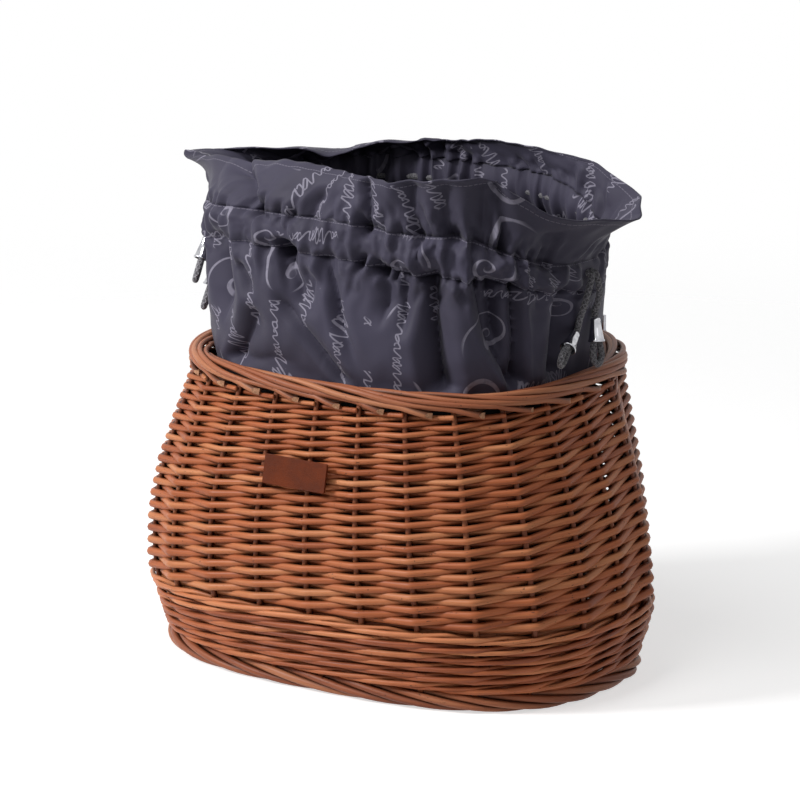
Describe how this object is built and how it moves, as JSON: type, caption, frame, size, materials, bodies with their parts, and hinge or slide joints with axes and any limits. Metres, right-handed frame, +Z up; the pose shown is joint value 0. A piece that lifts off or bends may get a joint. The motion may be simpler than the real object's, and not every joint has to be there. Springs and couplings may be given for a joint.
{
  "type": "bicycle basket",
  "caption": "Oval wicker handlebar basket with rolled borders, a lift-out drawstring lining bag, a bare leather tag and buckled leather straps.",
  "frame": {"origin": "middle of the foot's underside, at the centre of the whole basket's width and depth", "axes": "+X along the basket's length to its right end, +Y towards the handlebar side, +Z up"},
  "size_m": [0.4097, 0.3452, 0.4039],
  "materials": {
    "willow": "satin",
    "lining_fabric": "satin",
    "drawcord": "matte",
    "leather": "satin",
    "bright_metal": "polished"
  },
  "bodies": {
    "basket": {"foot_border": "willow", "rim_border": "willow", "base_weave": "willow", "stake_01": "willow", "stake_02": "willow", "stake_03": "willow", "stake_04": "willow", "stake_05": "willow", "stake_06": "willow", "stake_07": "willow", "stake_08": "willow", "stake_09": "willow", "stake_10": "willow", "stake_11": "willow", "stake_12": "willow", "stake_13": "willow", "stake_14": "willow", "stake_15": "willow", "stake_16": "willow", "stake_17": "willow", "stake_18": "willow", "stake_19": "willow", "stake_20": "willow", "stake_21": "willow", "stake_22": "willow", "stake_23": "willow", "stake_24": "willow", "waling_rod_1": "willow", "waling_rod_2": "willow", "waling_rod_3": "willow", "lower_weaver_1": "willow", "lower_weaver_2": "willow", "upper_weaver_1": "willow", "upper_weaver_2": "willow", "leather_tag": "leather", "handlebar_strap_left": "leather", "handlebar_strap_right": "leather", "buckle_frame_left": "bright_metal", "buckle_frame_right": "bright_metal", "buckle_prong_left": "bright_metal", "buckle_prong_right": "bright_metal"},
    "lining_bag": {"bag_bottom": "lining_fabric", "bag_wall": "lining_fabric", "drawstring_channel": "lining_fabric", "channel_drawcord": "drawcord", "bag_collar": "lining_fabric", "cord_tail_right_front": "drawcord", "cord_tail_right_back": "drawcord", "cord_tail_left_front": "drawcord", "cord_tail_left_back": "drawcord", "cord_end_right_front": "bright_metal", "cord_end_right_back": "bright_metal", "cord_end_left_front": "bright_metal", "cord_end_left_back": "bright_metal", "cord_loop_right_front": "drawcord", "cord_loop_right_back": "drawcord", "cord_loop_left_front": "drawcord", "cord_loop_left_back": "drawcord"}
  },
  "joints": [
    {"name": "lining_lift", "type": "slide", "parent": "basket", "child": "lining_bag", "axis": [0, 0, 1], "range_m": [0, 0.3]}
  ]
}
